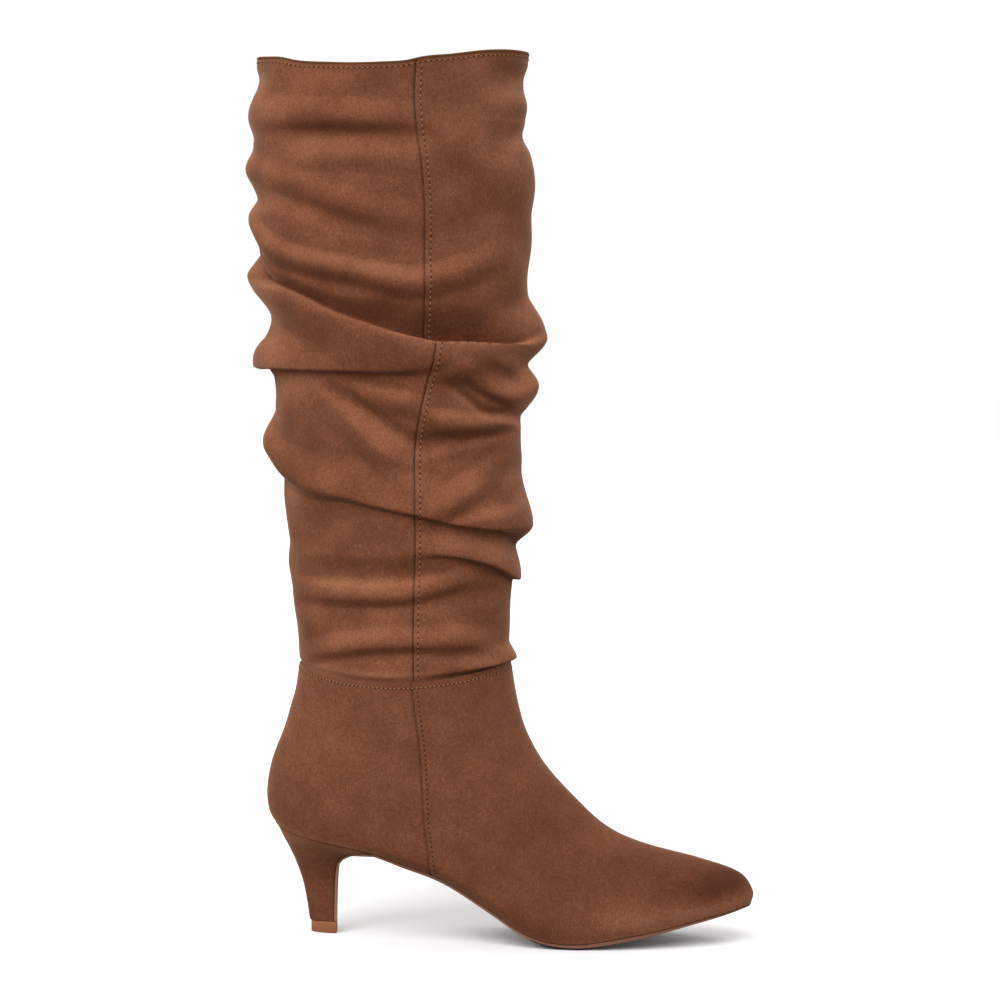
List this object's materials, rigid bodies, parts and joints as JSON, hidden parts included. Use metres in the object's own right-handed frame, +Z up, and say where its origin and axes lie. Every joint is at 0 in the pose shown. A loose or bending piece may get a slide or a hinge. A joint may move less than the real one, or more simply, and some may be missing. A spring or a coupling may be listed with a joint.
{
  "type": "tall slouch boot",
  "caption": "Tall pull-on boot in brown faux suede with a pointed toe, a slim curved heel and a loose shaft that settles in soft folds.",
  "frame": {"origin": "on the floor under the middle of the boot's bounding box", "axes": "+X towards the toe, +Y towards the inner side of the foot, +Z up along the shaft"},
  "size_m": [0.2734, 0.1046, 0.4726],
  "materials": {
    "suede": "brown faux suede with a short nap",
    "sock": "plain beige sock lining",
    "sole": "matt brown moulded sole",
    "top_lift": "tan top lift"
  },
  "bodies": {
    "root": {"upper": "suede", "shaft": "suede", "heel": "suede", "insole": "sock", "outsole": "sole", "heel_tip": "top_lift"}
  },
  "joints": []
}
